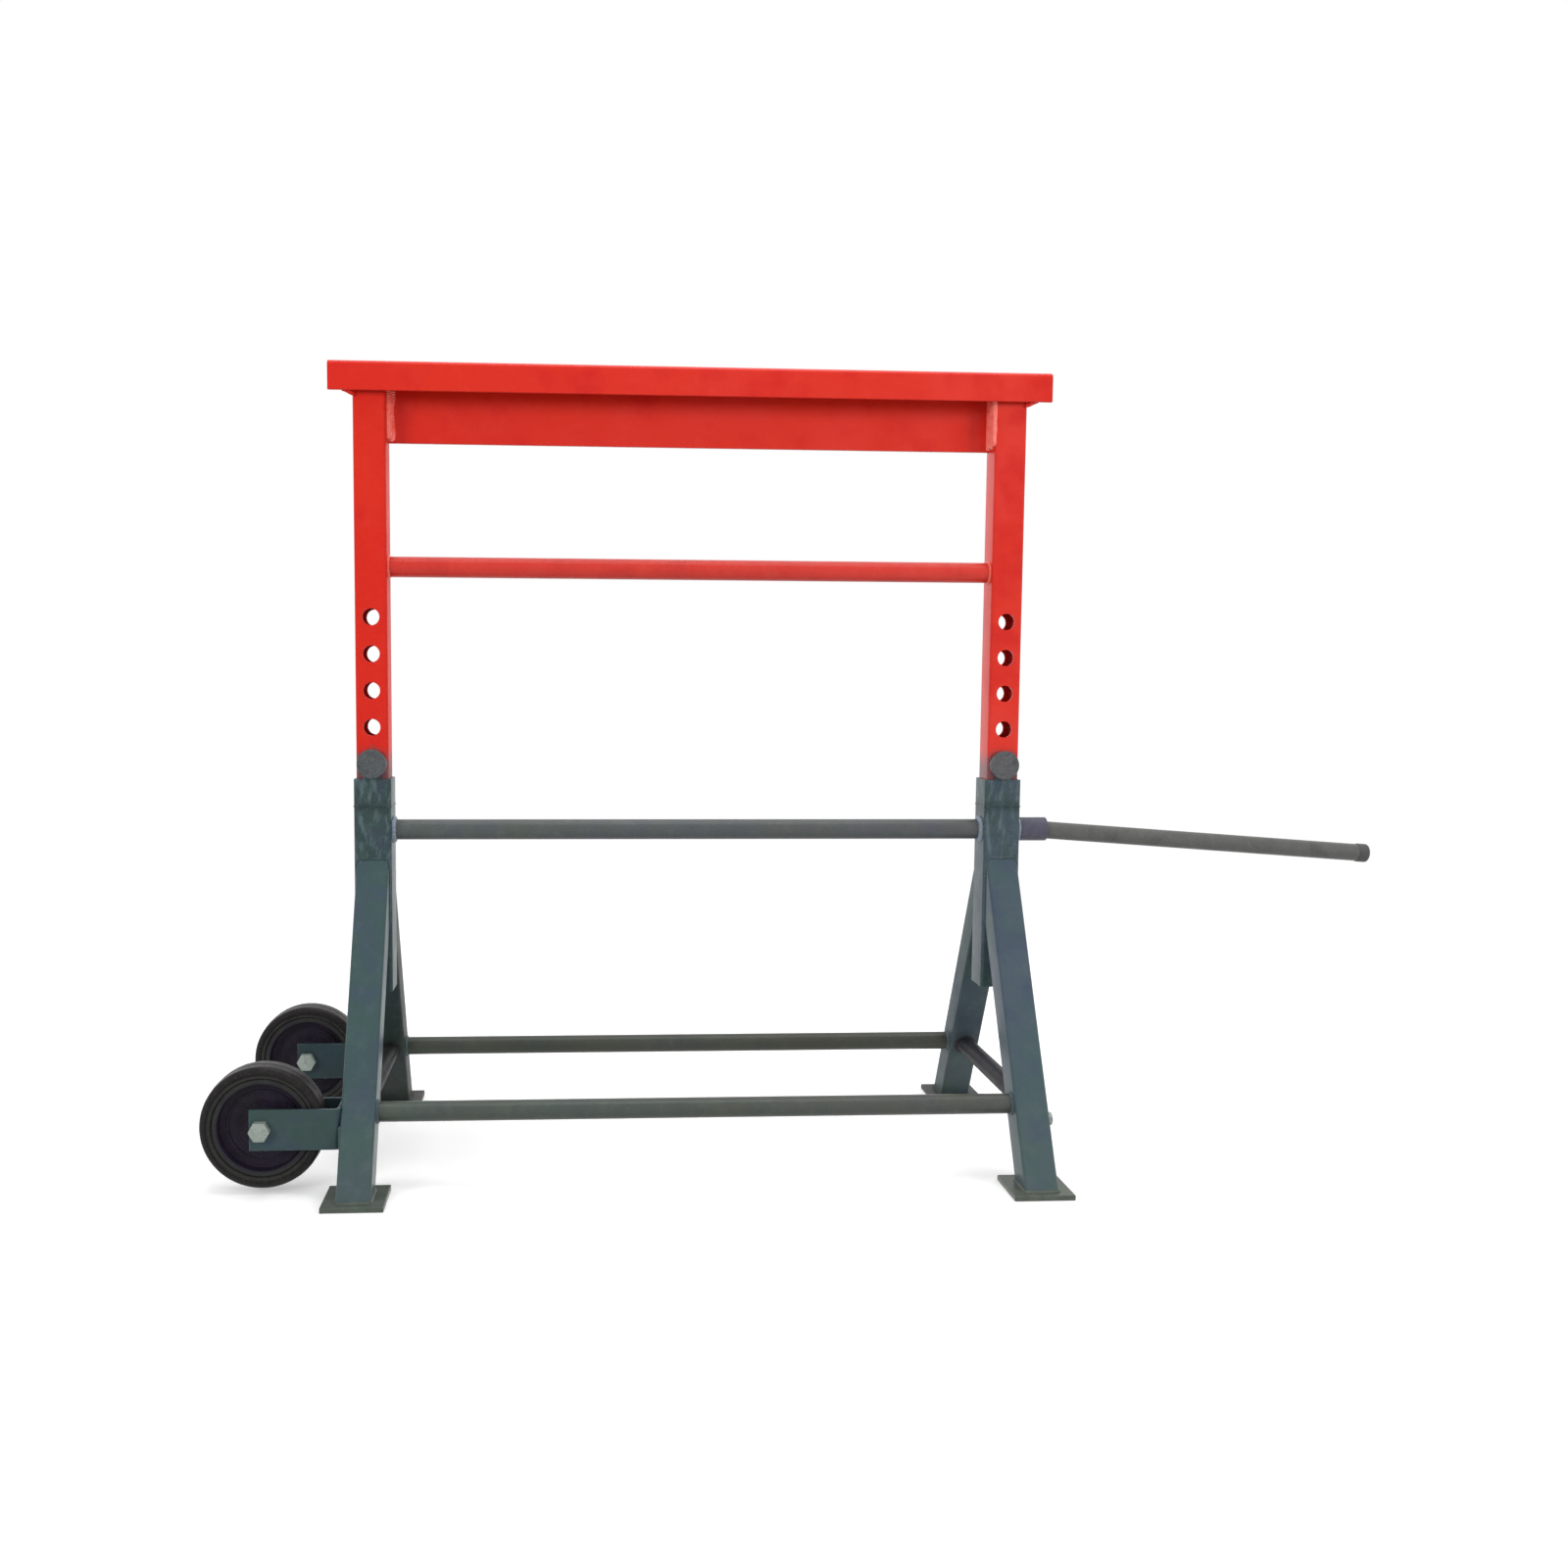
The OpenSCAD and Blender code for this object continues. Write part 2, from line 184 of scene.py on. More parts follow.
# White where an edge is sharp, broken up by noise
def edgeMask(tree, place):
    softNormal = addNode(tree, "ShaderNodeBevel", {"Radius": film["edgeWearAndSheenWidth"]},
                         samples=film["edgeWearAndSheenSamples"]).outputs[0]
    trueNormal = addNode(tree, "ShaderNodeNewGeometry").outputs["Normal"]
    cosine = addNode(tree, "ShaderNodeVectorMath", {0: softNormal, 1: trueNormal},
                     operation="DOT_PRODUCT").outputs["Value"]
    edge = remap(tree, cosine, *film["edgeWearAndSheenCosine"])
    broken = remap(tree, noiseOf(tree, place, *film["edgeWearAndSheenNoise"]), *film["edgeWearAndSheen"])
    return times(tree, edge, broken)


# Sprayed enamel: its tone drifts, some coats are smeared or stained, the posts carry painted shade,
# the edges are rubbed and on the green coats partly lightened as painted highlight, mud splashes up
# from the floor, and the film has a slight peel
def enamel(name, paint):
    material, tree, shader, place = newMaterial(name)
    axes = addNode(tree, "ShaderNodeSeparateXYZ", {0: place}).outputs
    scale = paint["driftScale"]
    sideways = remap(tree, axes[0], standX - film["halfSpan"], standX + film["halfSpan"])
    tone = mixed(tree, sideways, colour(paint["base"]), colour(paint["rightEnd"]))
    drift = remap(tree, noiseOf(tree, place, scale, 2), *film["drift"])
    tone = mixed(tree, drift, tone, colour(paint["tint"]))
    shade = remap(tree, noiseOf(tree, place, scale * film["shadeFiner"], 3), *film["shade"])
    tone = mixed(tree, shade, tone, colour(paint["shade"]))
    mottle = remap(tree, noiseOf(tree, place, scale * film["mottleFiner"], 3, 0.6),
                   *film["mottle"], paint["mottle"])
    tone = mixed(tree, mottle, tone, colour(paint["dust"]))
    if "stain" in paint:
        slant = addNode(tree, "ShaderNodeMapping",
                        {"Vector": place, "Rotation": (0, film["smearTurn"], 0),
                         "Scale": film["smearStretch"]}).outputs[0]
        smear = remap(tree, noiseOf(tree, slant, *film["smearNoise"]), *film["smear"])
        smear = times(tree, smear, remap(tree, axes[2], *paint["smearFade"]))
        tone = mixed(tree, smear, tone, colour(paint["dust"]))
        low, high = paint["stain"]
        band = times(tree, remap(tree, axes[2], low - film["stainFade"], low),
                     remap(tree, axes[2], high + film["stainFade"], high))
        patchy = remap(tree, noiseOf(tree, place, *film["stainNoise"]), *film["stain"])
        tone = mixed(tree, times(tree, band, patchy), tone, colour(paint["stainTone"]))
    # painted shade: a dark patch round a line from front to rear through (middleX, middleZ)
    if "paintedShade" in paint:
        middleX, middleZ, inner, outer = paint["paintedShade"]
        ragged = remap(tree, noiseOf(tree, place, *film["paintedShadeNoise"]), *film["paintedShadeEdge"])
        away = addNode(tree, "ShaderNodeMath", {0: fromAxis(tree, place, middleX, middleZ),
                                                1: ragged}, operation="ADD").outputs[0]
        underShade = remap(tree, away, outer, inner, *film["paintedShade"])
        tone = mixed(tree, underShade, tone, colour(paint["paintedShadeTone"]))
    grain = remap(tree, noiseOf(tree, place, *film["grainNoise"]), *film["grain"], paint["grain"])
    tone = mixed(tree, grain, tone, colour(paint["dust"]))
    # Sharp edges take the edge tone: worn film on most coats, and on the green coats a light bluish
    # line that is partly painted highlight
    edgeWearAndSheen = times(tree, edgeMask(tree, place), paint["wear"])
    tone = mixed(tree, edgeWearAndSheen, tone, colour(paint["wearAndSheenTone"]))
    splash = times(tree, remap(tree, axes[2], *film["splash"]),
                   noiseOf(tree, place, *film["splashNoise"]))
    tone = mixed(tree, times(tree, splash, paint["splash"]), tone, colour(film["splashTone"]))
    tree.links.new(tone, shader.inputs["Base Color"])
    rough = remap(tree, noiseOf(tree, place, *film["roughNoise"]), *film["rough"], *paint["rough"])
    tree.links.new(rough, shader.inputs["Roughness"])
    waves = bumped(tree, noiseOf(tree, place, *film["waveNoise"]), *film["wave"])
    peel = bumped(tree, noiseOf(tree, place, *film["peelNoise"]), *film["peel"], waves)
    tree.links.new(peel, shader.inputs["Normal"])
    shader.inputs["Specular IOR Level"].default_value = paint["gloss"]
    return material


metalSkin = {"patch": (0.0, 0.9), "stainNoise": (120, 4, 0.7), "stain": (0.52, 0.72, 0),
             "stainTone": "6f7268", "roughNoise": (300, 3), "rough": (0.3, 0.7),
             "grainNoise": (700, 3), "grain": (0.4, 0.00015)}


# Bare or plated steel: patches of two greys, stains and a fine grain
def zinc(name, plate):
    material, tree, shader, place = newMaterial(name)
    spangle = addNode(tree, "ShaderNodeTexVoronoi", {"Vector": place, "Scale": plate["spangle"]})
    patch = remap(tree, spangle.outputs["Distance"], *metalSkin["patch"])
    tone = mixed(tree, patch, colour(plate["base"]), colour(plate["tint"]))
    stain = remap(tree, noiseOf(tree, place, *metalSkin["stainNoise"]), *metalSkin["stain"],
                  plate["stain"])
    tone = mixed(tree, stain, tone, colour(metalSkin["stainTone"]))
    tree.links.new(tone, shader.inputs["Base Color"])
    rough = remap(tree, noiseOf(tree, place, *metalSkin["roughNoise"]), *metalSkin["rough"],
                  *plate["rough"])
    tree.links.new(rough, shader.inputs["Roughness"])
    shader.inputs["Metallic"].default_value = plate["metal"]
    grain = bumped(tree, noiseOf(tree, place, *metalSkin["grainNoise"]), *metalSkin["grain"])
    tree.links.new(grain, shader.inputs["Normal"])
    return material


rubberSkin = {"bloomNoise": (22, 4, 0.6), "bloom": (0.35, 0.7), "rubNoise": (40, 3),
              "rub": (0.3, 0.6, 0.35, 0.9), "ringOut": 0.002, "ringIn": 0.001,
              "dustNoise": (260, 4, 0.7), "dust": (0.5, 0.75, 0), "dustTone": "77715f",
              "roughNoise": (80, 3), "rough": (0.3, 0.7), "poreNoise": (900, 3, 0.7),
              "pore": (0.5, 0.0002)}


# Rubber and moulded plastic: bloom, a ring of painted highlight round the axle, dust and pores
def rubber(name, tread):
    material, tree, shader, place = newMaterial(name)
    bloom = remap(tree, noiseOf(tree, place, *rubberSkin["bloomNoise"]), *rubberSkin["bloom"])
    tone = mixed(tree, bloom, colour(tread["base"]), colour(tread["bloom"]))
    # painted highlight: a lighter ring round the axle at the rim lip, broken up by noise
    if "ring" in tread:
        middleX, middleZ, inner, outer = tread["ring"]
        radius = fromAxis(tree, place, middleX, middleZ)
        fadeOut, fadeIn = rubberSkin["ringOut"], rubberSkin["ringIn"]
        band = times(tree, remap(tree, radius, inner - fadeOut, inner + fadeIn),
                     remap(tree, radius, outer + fadeOut, outer - fadeIn))
        rubbed = remap(tree, noiseOf(tree, place, *rubberSkin["rubNoise"]), *rubberSkin["rub"])
        tone = mixed(tree, times(tree, band, rubbed), tone, colour(tread["ringHighlightTone"]))
    dust = remap(tree, noiseOf(tree, place, *rubberSkin["dustNoise"]), *rubberSkin["dust"],
                 tread["dust"])
    tone = mixed(tree, dust, tone, colour(rubberSkin["dustTone"]))
    tree.links.new(tone, shader.inputs["Base Color"])
    rough = remap(tree, noiseOf(tree, place, *rubberSkin["roughNoise"]), *rubberSkin["rough"],
                  *tread["rough"])
    tree.links.new(rough, shader.inputs["Roughness"])
    pores = bumped(tree, noiseOf(tree, place, *rubberSkin["poreNoise"]), *rubberSkin["pore"])
    tree.links.new(pores, shader.inputs["Normal"])
    shader.inputs["Specular IOR Level"].default_value = tread["gloss"]
    return material


axle = jointOf("front_wheel_spin")["pos_m"]
paints = {
    "red": {"base": "cf2113", "tint": "d22814", "shade": "c81c18", "rightEnd": "d8362c",
            "dust": "dc3c2e", "wearAndSheenTone": "8a2a20", "grain": 0.18, "mottle": 0.2, "wear": 0.4,
            "splash": 0.0, "driftScale": 7, "rough": (0.25, 0.35), "gloss": 0.20},
    # painted highlight: the red welds are painted lighter and oranger than the red, for light on
    # the beads
    "redWeldHighlight": {"base": "e8543e", "tint": "ee624a", "shade": "e24432", "rightEnd": "ea5c4c",
                "dust": "f07a68", "wearAndSheenTone": "8a2a20", "grain": 0.3, "mottle": 0.6, "wear": 0.0,
                "splash": 0.0, "driftScale": 24, "rough": (0.16, 0.28), "gloss": 0.5},
    # the green's light bluish edge tone and strong edge amount are partly painted highlight along
    # the edges
    "green": {"base": "36494e", "tint": "35524c", "shade": "3b465a", "rightEnd": "44505d",
              "dust": "4d5b5c", "wearAndSheenTone": "8794a0", "grain": 0.25, "mottle": 0.45, "wear": 0.8,
              "splash": 0.15, "driftScale": 8, "rough": (0.28, 0.38), "gloss": 0.22},
    "sleeve": {"base": "26383d", "tint": "273c33", "shade": "313949", "rightEnd": "3e4a54",
               "dust": "5a6b70", "wearAndSheenTone": "6d7475", "grain": 0.3, "mottle": 0.3, "wear": 0.6,
               "splash": 0.0, "driftScale": 13, "rough": (0.26, 0.36), "gloss": 0.20,
               "stain": (0.549, 0.556), "stainTone": "1c2826", "smearFade": (0.40, 0.50)},
    "rail": {"base": "3f4c46", "tint": "464b40", "shade": "3e4446", "rightEnd": "494949",
             "dust": "565b55", "wearAndSheenTone": "6d7475", "grain": 0.25, "mottle": 0.4, "wear": 0.4,
             "splash": 0.1, "driftScale": 9, "rough": (0.28, 0.40), "gloss": 0.25},
    "cross": {"base": "495150", "tint": "4d514c", "shade": "474c55", "rightEnd": "4f4f54",
              "dust": "5f6463", "wearAndSheenTone": "6d7475", "grain": 0.25, "mottle": 0.35, "wear": 0.4,
              "splash": 0.0, "driftScale": 9, "rough": (0.28, 0.40), "gloss": 0.25},
    "socket": {"base": "484754", "tint": "4b4959", "shade": "424450", "rightEnd": "4c4958",
               "dust": "62616c", "wearAndSheenTone": "8b8b90", "grain": 0.3, "mottle": 0.4, "wear": 0.6,
               "splash": 0.0, "driftScale": 20, "rough": (0.30, 0.42), "gloss": 0.25},
    "barGrey": {"base": "505251", "tint": "565755", "shade": "464746", "rightEnd": "525352",
                "dust": "6a6b65", "wearAndSheenTone": "8b8b86", "grain": 0.25, "mottle": 0.3, "wear": 0.6,
                "splash": 0.0, "driftScale": 14, "rough": (0.30, 0.45), "gloss": 0.3},
    "pin": {"base": "404447", "tint": "46484d", "shade": "2d3436", "rightEnd": "524f52",
            "dust": "656a6a", "wearAndSheenTone": "858a87", "grain": 0.3, "mottle": 0.6, "wear": 0.8,
            "splash": 0.0, "driftScale": 40, "rough": (0.28, 0.42), "gloss": 0.34},
}


# The same paint on other pieces in other tones; the darker rear legs, rear feet and side rails are
# painted shade
def likePaint(paint, base, tint, shade, rightEnd, dust, **changes):
    return dict(paints[paint], base=base, tint=tint, shade=shade, rightEnd=rightEnd, dust=dust,
                **changes)


# Painted shade on the posts, a dark patch just under the pins' middle; the posts' roughness per
# side is set here too
postCoatAndPinShade = {"tone": "544f55", "under": 0.011, "full": 0.026, "gone": 0.040,
            "rough": {left: (0.38, 0.48), right: (0.18, 0.26)}}
pinShadeZ = middleOf("locking_pin_left")[2] - postCoatAndPinShade["under"]
for side in (left, right):
    paints[sideName[side] + "Post"] = dict(
        paints["red"], rough=postCoatAndPinShade["rough"][side], paintedShadeTone=postCoatAndPinShade["tone"],
        paintedShade=(postX[side], pinShadeZ, postCoatAndPinShade["full"], postCoatAndPinShade["gone"]))
paints["tie"] = likePaint("red", "c4281c", "c82e20", "bc241c", "ce342a", "d44c40",
                          rough=(0.26, 0.36), gloss=0.35)
# painted highlight: the welds at the plate's ends are painted far lighter, for light on the posts'
# inner faces beside them
paints["endWeld"] = likePaint("redWeldHighlight", "fc7464", "f86c5c", "f0584a", "f47466", "ff9c8e",
                              mottle=0.6, rough=(0.12, 0.24), gloss=0.6)
# painted shade: the rear legs are darker copies of the green, the right one less dark
paints["rear"] = likePaint("green", "202a29", "22302a", "262b32", "2c3638", "384442",
                           rough=(0.42, 0.55), gloss=0.20)
paints["rearRightShaded"] = likePaint("rear", "37464c", "354642", "37404c", "3d4b52", "4a5758")
paints["fork"] = likePaint("green", "33464c", "32483f", "344152", "33464c", "415054",
                           rough=(0.34, 0.46), splash=0.0)
paints["rearFork"] = likePaint("fork", "27373c", "273a32", "29323f", "27373c", "344246")
paints["frontFoot"] = likePaint("green", "35433e", "3b463b", "343f40", "3f4844", "56635c",
                                splash=0.3, wear=1.0)
# painted highlight: the green welds are a little lighter than the green, the bar welds much
# lighter, for light on the beads
paints["greenWeldHighlight"] = likePaint("green", "3b4c52", "39504c", "434d60", "465460", "58676c",
                                rough=(0.30, 0.42), gloss=0.25, mottle=0.8, driftScale=24, wear=0.0)
paints["barWeldHighlight"] = likePaint("greenWeldHighlight", "687782", "647d7a", "747a9c", "7c8098", "a6b4ba",
                              rough=(0.24, 0.36), gloss=0.4, mottle=0.7)
# painted shade: the rear feet are painted darker
paints["rearFoot"] = likePaint("rear", "161e1d", "18231e", "1a1d20", "20282c", "28302e")
paints["rearRail"] = likePaint("rail", "36403a", "3d3f34", "353a37", "3c3d38", "4b4e46")
# painted shade: the side rails between the legs are painted near black
paints["sideRailShaded"] = likePaint("rail", "151919", "171b17", "17191b", "2c2a31", "2a2c2c",
                               rough=(0.42, 0.55), gloss=0.15)
coats = {name: enamel("enamel " + name, paint) for name, paint in paints.items()}
boltZinc = zinc("dull zinc", {"base": "a4aea6", "tint": "8c968f", "spangle": 420, "stain": 0.5,
                              "rough": (0.40, 0.60), "metal": 0.5})
bushSteel = zinc("turned steel", {"base": "8f9492", "tint": "7d8280", "spangle": 900,
                                  "stain": 0.7, "rough": (0.25, 0.4), "metal": 0.9})
tyreRubber = rubber("tyre rubber", {"base": "1d1b1d", "bloom": "252324", "dust": 0.14,
                                    "rough": (0.26, 0.40), "gloss": 0.12,
                                    "ring": (axle[0], axle[2], 0.0735, 0.0775),
                                    "ringHighlightTone": "323430"})
wheelPlastic = rubber("wheel moulding", {"base": "1a171f", "bloom": "272031", "dust": 0.1,
                                         "rough": (0.34, 0.5), "gloss": 0.12,
                                         "ring": (axle[0], axle[2], 0.0665, 0.0725),
                                         "ringHighlightTone": "30332f"})
capPlastic = rubber("end cap moulding", {"base": "454746", "bloom": "505251", "dust": 0.2,
                                         "rough": (0.45, 0.6), "gloss": 0.3})
print("materials made")


# Meshes: angles in degrees
meshing = {"smoothUnder": 32, "flatUnder": 0.4, "merge": 1e-5, "fineMerge": 1e-6,
           "bevelOver": 38, "bevelSegments": 2}


def addObject(name, verts, faces):
    mesh = bpy.data.meshes.new(name)
    mesh.from_pydata(verts, [], faces)
    mesh.validate()
    mesh.update()
    piece = bpy.data.objects.new(name, mesh)
    scene.collection.objects.link(piece)
    return piece


def fixNormals(piece, merge=False):
    shape = bmesh.new()
    shape.from_mesh(piece.data)
    if merge:
        bmesh.ops.remove_doubles(shape, verts=shape.verts, dist=meshing["fineMerge"])
    bmesh.ops.recalc_face_normals(shape, faces=shape.faces)
    shape.to_mesh(piece.data)
    shape.free()


def smoothed(piece):
    piece.data.shade_smooth()
    piece.data.set_sharp_from_angle(angle=math.radians(meshing["smoothUnder"]))


def dressed(piece, material, body, slot, *nodes):
    piece.data.materials.clear()
    piece.data.materials.append(material)
    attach(piece, body)
    if nodes:
        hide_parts(*nodes)


# An axis and two directions square to it
def acrossAxis(axis):
    along = Vector(axis).normalized()
    first = along.orthogonal().normalized()
    return along, first, along.cross(first)


# A turned shape: outline points are (radius, place along the axis), a ring's outline is closed
def turned(name, outline, middle, axis, ring, steps):
    along, first, second = acrossAxis(axis)
    verts, faces, rows = [], [], []
    for radius, offset in outline:
        centre = Vector(middle) + along * offset
        if radius < meshing["fineMerge"]:
            rows.append([len(verts)] * steps)
            verts.append(centre)
            continue
        rows.append(list(range(len(verts), len(verts) + steps)))
        for i in range(steps):
            a = 2 * math.pi * i / steps
            verts.append(centre + (first * math.cos(a) + second * math.sin(a)) * radius)
    pairs = list(zip(rows, rows[1:])) + ([(rows[-1], rows[0])] if ring else [])
    for one, two in pairs:
        for i in range(steps):
            j = (i + 1) % steps
            corners = list(dict.fromkeys((one[i], one[j], two[j], two[i])))
            if len(corners) > 2:
                faces.append(corners)
    piece = addObject(name, verts, faces)
    fixNormals(piece)
    smoothed(piece)
    return piece


def arc(radiusAt, alongAt, size, start, end, count):
    angles = [math.radians(start + (end - start) * i / count) for i in range(count + 1)]
    return [(radiusAt + size * math.cos(a), alongAt + size * math.sin(a)) for a in angles]


def joined(name, pieces):
    whole = bmesh.new()
    for piece in pieces:
        whole.from_mesh(piece.data)
        bpy.data.objects.remove(piece)
    mesh = bpy.data.meshes.new(name)
    whole.to_mesh(mesh)
    whole.free()
    made = bpy.data.objects.new(name, mesh)
    scene.collection.objects.link(made)
    smoothed(made)
    return made


# The CAD piece again, with its sharp edges broken as a file or the paint film leaves them
def coated(node, width, coat, body="base_frame", slot="green_grey_paint"):
    shape = bmesh.new()
    shape.from_mesh(frame["nodes"][node].data)
    bmesh.ops.remove_doubles(shape, verts=shape.verts, dist=meshing["merge"])
    bmesh.ops.dissolve_limit(shape, angle_limit=math.radians(meshing["flatUnder"]),
                             verts=shape.verts, edges=shape.edges)
    mesh = bpy.data.meshes.new(node + "_body")
    shape.to_mesh(mesh)
    shape.free()
    kept = mesh.attributes.get("custom_normal")
    if kept:
        mesh.attributes.remove(kept)
    piece = bpy.data.objects.new(node + "_body", mesh)
    scene.collection.objects.link(piece)
    edges = piece.modifiers.new("edges", "BEVEL")
    edges.width = width
    edges.segments = meshing["bevelSegments"]
    edges.limit_method = "ANGLE"
    edges.angle_limit = math.radians(meshing["bevelOver"])
    edges.use_clamp_overlap = True
    smoothed(piece)
    dressed(piece, coats[coat], body, slot, node)


# Weld beads
weld = {"step": 0.0011, "ripple": 0.0034, "sides": 10, "aside": (0.31, 0.52, 0.79),
        "low": 0.90, "crest": 0.16, "sway": 0.12, "lumps": 0.10, "wander": 60,
        "start": 0.45, "growth": 0.25}      # an open bead starts thin and fills out


def resampled(path, closed, step):
    points = [Vector(p) for p in path] + ([Vector(path[0])] if closed else [])
    lengths = [(b - a).length for a, b in zip(points, points[1:])]
    count = max(4, round(sum(lengths) / step))
    samples, walked, k = [], 0.0, 0
    for i in range(count if closed else count + 1):
        target = sum(lengths) * i / count
        while k < len(lengths) - 1 and walked + lengths[k] < target:
            walked += lengths[k]
            k += 1
        share = min(1.0, (target - walked) / max(lengths[k], 1e-9))
        samples.append(points[k].lerp(points[k + 1], share))
    return samples


# A bead along a path: overlapping ripples, uneven as a hand weld is
def bead(path, size, closed, seed, lumps=weld["lumps"]):
    spots = resampled(path, closed, weld["step"])
    count, sides = len(spots), weld["sides"]
    verts, faces = [], []
    for i, spot in enumerate(spots):
        before = spots[i - 1] if closed or i else spots[0]
        after = spots[(i + 1) % count] if closed or i < count - 1 else spots[-1]
        along = (after - before).normalized()
        first = along.cross(Vector(weld["aside"])).normalized()
        second = along.cross(first)
        walked = i * weld["step"]
        wander = noise.noise(Vector((walked * weld["wander"], seed * 7.3 + 0.4, 0)))
        fromEnd = min(i, count - 1 - i)
        ends = 1.0 if closed else min(1.0, weld["start"] + fromEnd * weld["growth"])
        for k in range(sides):
            a = 2 * math.pi * k / sides
            phase = (walked / weld["ripple"] + weld["sway"] * math.sin(a)) % 1.0
            ripple = weld["crest"] * (1 - phase) ** 1.5
            radius = size * ends * (weld["low"] + ripple + lumps * wander)
            verts.append(spot + (first * math.cos(a) + second * math.sin(a)) * radius)
    for i in range(count if closed else count - 1):
        j = (i + 1) % count
        for k in range(sides):
            m = (k + 1) % sides
            faces.append((i * sides + k, i * sides + m, j * sides + m, j * sides + k))
    if not closed:
        faces.append(tuple(reversed(range(sides))))
        faces.append(tuple(range((count - 1) * sides, count * sides)))
    piece = addObject("bead", verts, faces)
    fixNormals(piece)
    return piece


# Rounded square outline of a tube as pairs (across, through)
def tubeLoop(width, corner, steps=5):
    straight = width / 2 - corner
    loop = []
    for quarter in range(4):
        for i in range(steps + 1):
            a = math.pi / 2 * (quarter + i / steps)
            sx, sy = ((1, 1), (-1, 1), (-1, -1), (1, -1))[quarter]
            loop.append((sx * straight + corner * math.cos(a),
                         sy * straight + corner * math.sin(a)))
    return loop


def circleLoop(radius, steps=40):
    angles = [2 * math.pi * i / steps for i in range(steps)]
    return [(radius * math.cos(a), radius * math.sin(a)) for a in angles]


# The frames: tubes and plates
legs = {"width": 0.050, "corner": 0.005, "lean": math.radians(27.5), "reach": 0.246}
softEdge = {"post": 0.0006, "guide": 0.0005, "leg": 0.0005, "foot": 0.0010, "fork": 0.0008,
            "rail": 0.0003, "socket": 0.0007, "beam": 0.0010, "tie": 0.0003, "bar": 0.0004}
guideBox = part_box("guide_tube_left")
guideHalf = (guideBox[1].y - guideBox[0].y) / 2
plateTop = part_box("foot_plate_front_left")[1].z
railZ = middleOf("front_rail")[2]


# How far a leg's middle is from the stand's at height z; across is square to the leg
def legY(z, across=0.0):
    return legs["reach"] - z * math.tan(legs["lean"]) + across / math.cos(legs["lean"])


for side in (left, right):
    coated("post_" + sideName[side], softEdge["post"], sideName[side] + "Post", "lift_frame",
           "red_paint")
    coated("guide_tube_" + sideName[side], softEdge["guide"], "sleeve")
    coated("side_rail_" + sideName[side], softEdge["rail"], "sideRailShaded")
    for face, coat in ((front, "green"), (rear, "rear" if side == left else "rearRightShaded")):
        place = faceName[face] + "_" + sideName[side]
        coated("leg_" + place, softEdge["leg"], coat)
        coated("foot_plate_" + place, softEdge["foot"], faceName[face] + "Foot")
for face, fork, rail in ((front, "fork", "rail"), (rear, "rearFork", "rearRail")):
    coated("wheel_fork_" + faceName[face], softEdge["fork"], fork)
    coated(faceName[face] + "_rail", softEdge["rail"], rail)
coated("crossbar", softEdge["rail"], "cross")
coated("pull_bar_socket", softEdge["socket"], "socket")
coated("top_beam", softEdge["beam"], "red", "lift_frame", "red_paint")
coated("stiffener_plate", softEdge["beam"], "red", "lift_frame", "red_paint")
coated("post_tie", softEdge["tie"], "tie", "lift_frame", "red_paint")
coated("pull_bar", softEdge["bar"], "barGrey", "hand_bar", "bar_grey_paint")
print("tubes and plates softened")


# Welds of the base
baseWelds = {"leg": 0.0026, "foot": 0.0030, "rail": 0.0032, "railRadius": 0.0150, "bar": 0.0056,
             "barRadius": 0.0160, "seam": 0.0012, "seamDrop": 0.043, "seatHeight": 0.014,
             "fork": 0.0036}


def guideWeld(side, face):
    loop = tubeLoop(legs["width"], legs["corner"])
    tan = math.tan(legs["lean"])
    return bead([(postX[side] + p, face * guideHalf, (legY(0, q) - guideHalf) / tan)
                 for p, q in loop], baseWelds["leg"], True, 1)


def footWeld(side, face):
    loop = tubeLoop(legs["width"], legs["corner"])
    return bead([(postX[side] + p, face * legY(plateTop, q), plateTop) for p, q in loop],
                baseWelds["foot"], True, 2)


def railWeld(side, face):
    innerX = postX[side] - side * legs["width"] / 2
    path = [(innerX, face * legY(railZ) + p, railZ + q)
            for p, q in circleLoop(baseWelds["railRadius"])]
    return bead(path, baseWelds["rail"], True, 3 + face)


def sideRailWeld(side, face):
    path = [(postX[side] + p, face * legY(railZ + q, -legs["width"] / 2), railZ + q)
            for p, q in circleLoop(baseWelds["railRadius"])]
    return bead(path, baseWelds["rail"], True, 6 + face)


def barWelds(side):
    crossZ = middleOf("crossbar")[2]
    guideX = postX[side] - side * guideHalf
    beads = [bead([(guideX, p, crossZ + q) for p, q in circleLoop(baseWelds["barRadius"])],
                  baseWelds["bar"], True, 9)]
    if side == right:
        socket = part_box("pull_bar_socket")
        radius = (socket[1].y - socket[0].y) / 2
        beads.append(bead([(socket[0].x, p, crossZ + q) for p, q in circleLoop(radius)],
                          baseWelds["bar"], True, 10))
    return beads


# The collar round a guide tube's mouth is joined on by a flat seam
def seamWeld(side):
    z = guideBox[1].z - baseWelds["seatHeight"] - baseWelds["seamDrop"]
    loop = tubeLoop(2 * guideHalf, legs["corner"])
    return bead([(postX[side] + p, q, z) for p, q in loop], baseWelds["seam"], True, 12)


